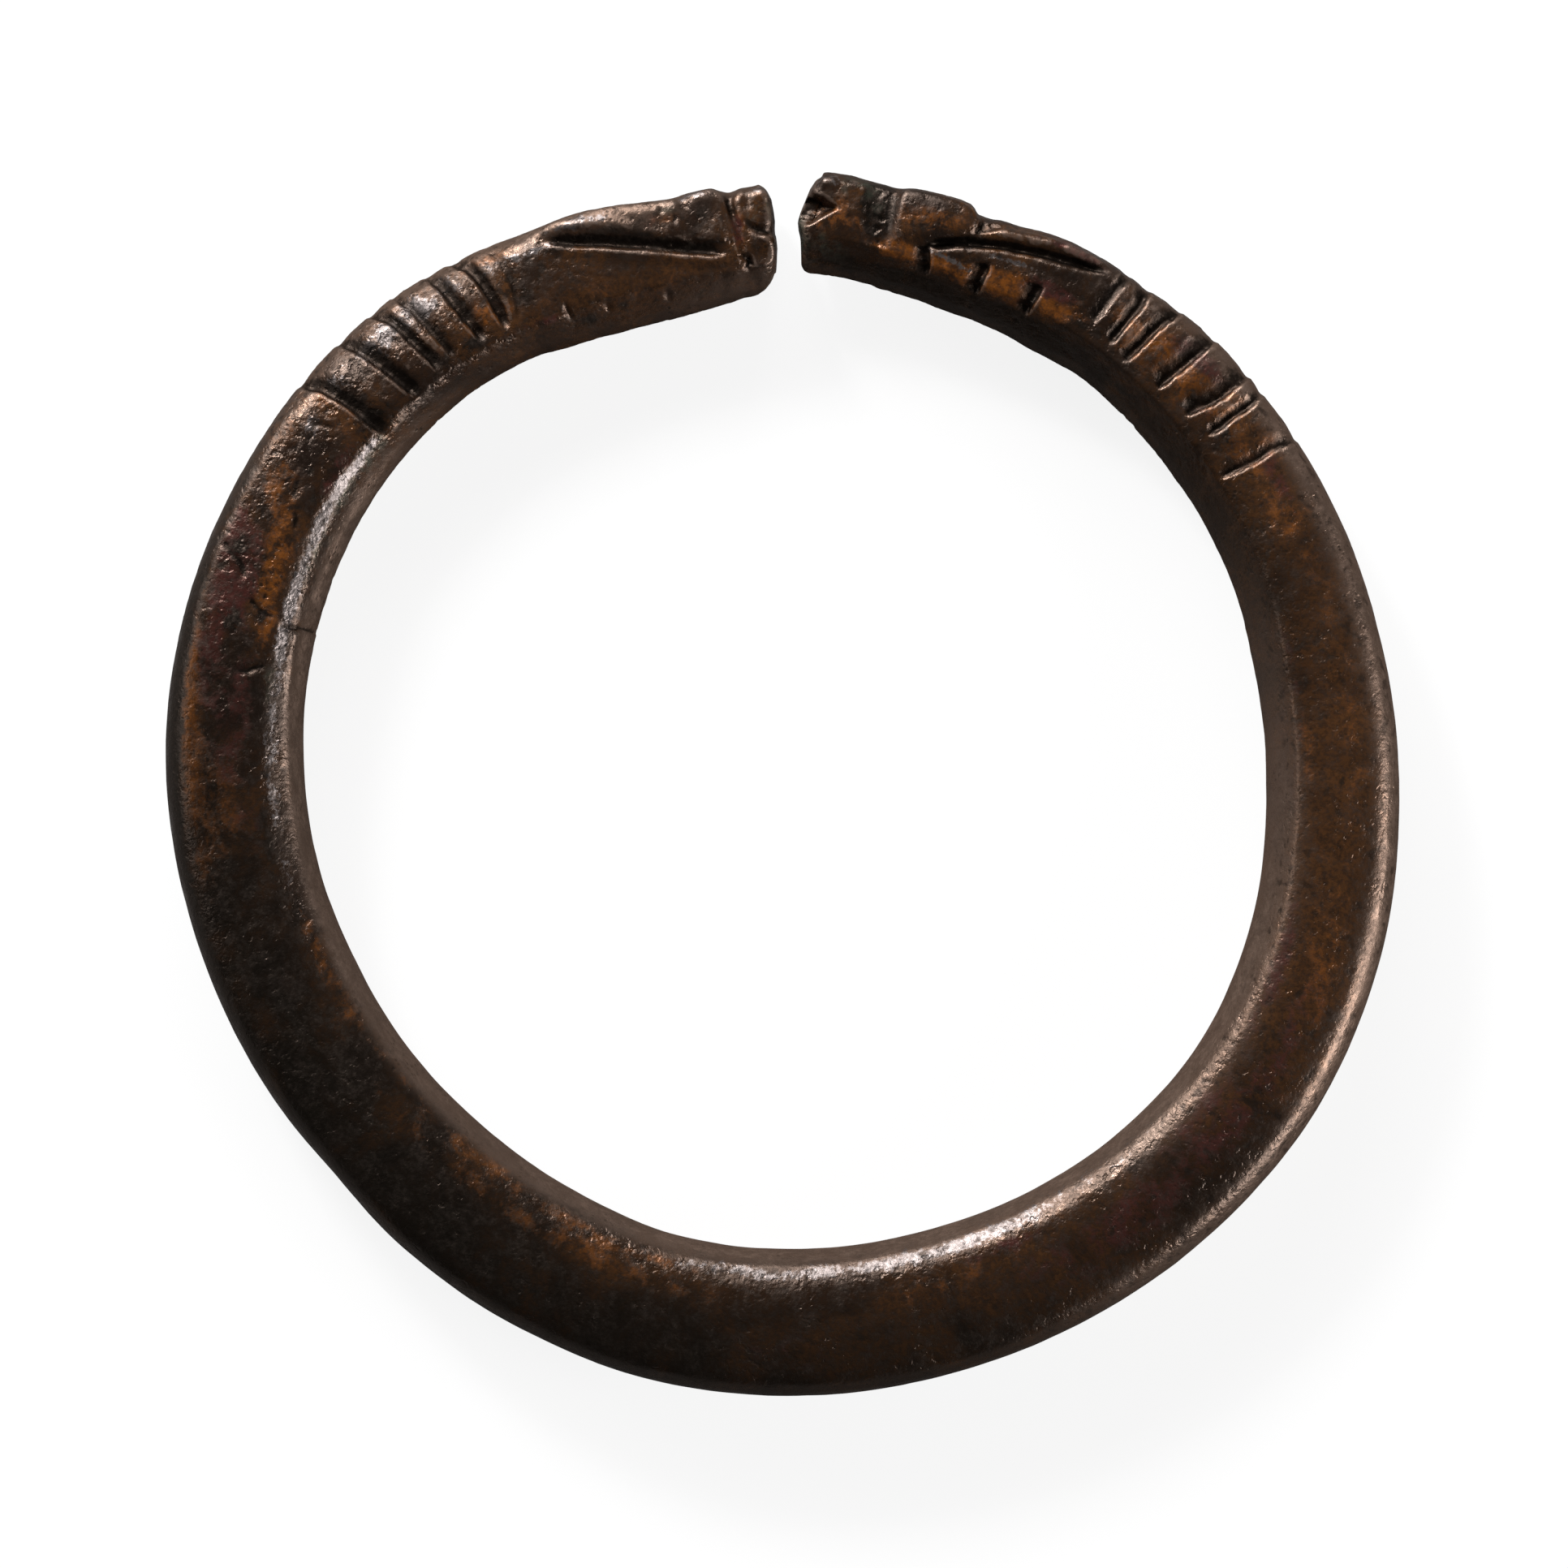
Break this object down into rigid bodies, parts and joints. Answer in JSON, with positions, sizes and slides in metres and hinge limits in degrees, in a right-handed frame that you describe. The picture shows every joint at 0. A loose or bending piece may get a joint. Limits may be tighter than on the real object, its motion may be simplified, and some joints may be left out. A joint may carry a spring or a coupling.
{
  "type": "animal head bracelet",
  "caption": "Open bangle of dark cast bronze: a thick faceted bar thins into ribbed necks that end in animal heads, muzzle to muzzle across a narrow gap.",
  "frame": {"origin": "centre of the hoop, on the surface that the bangle lies on", "axes": "+Z along the wrist axis, +Y from the back of the hoop to the gap between the muzzles, +X to the right as seen from above"},
  "size_m": [0.0799, 0.0793, 0.0083],
  "materials": {
    "bronze": "dark brown patina, rubbed to a satin sheen on the high places"
  },
  "bodies": {
    "root": {"bracelet": "bronze"}
  },
  "joints": []
}
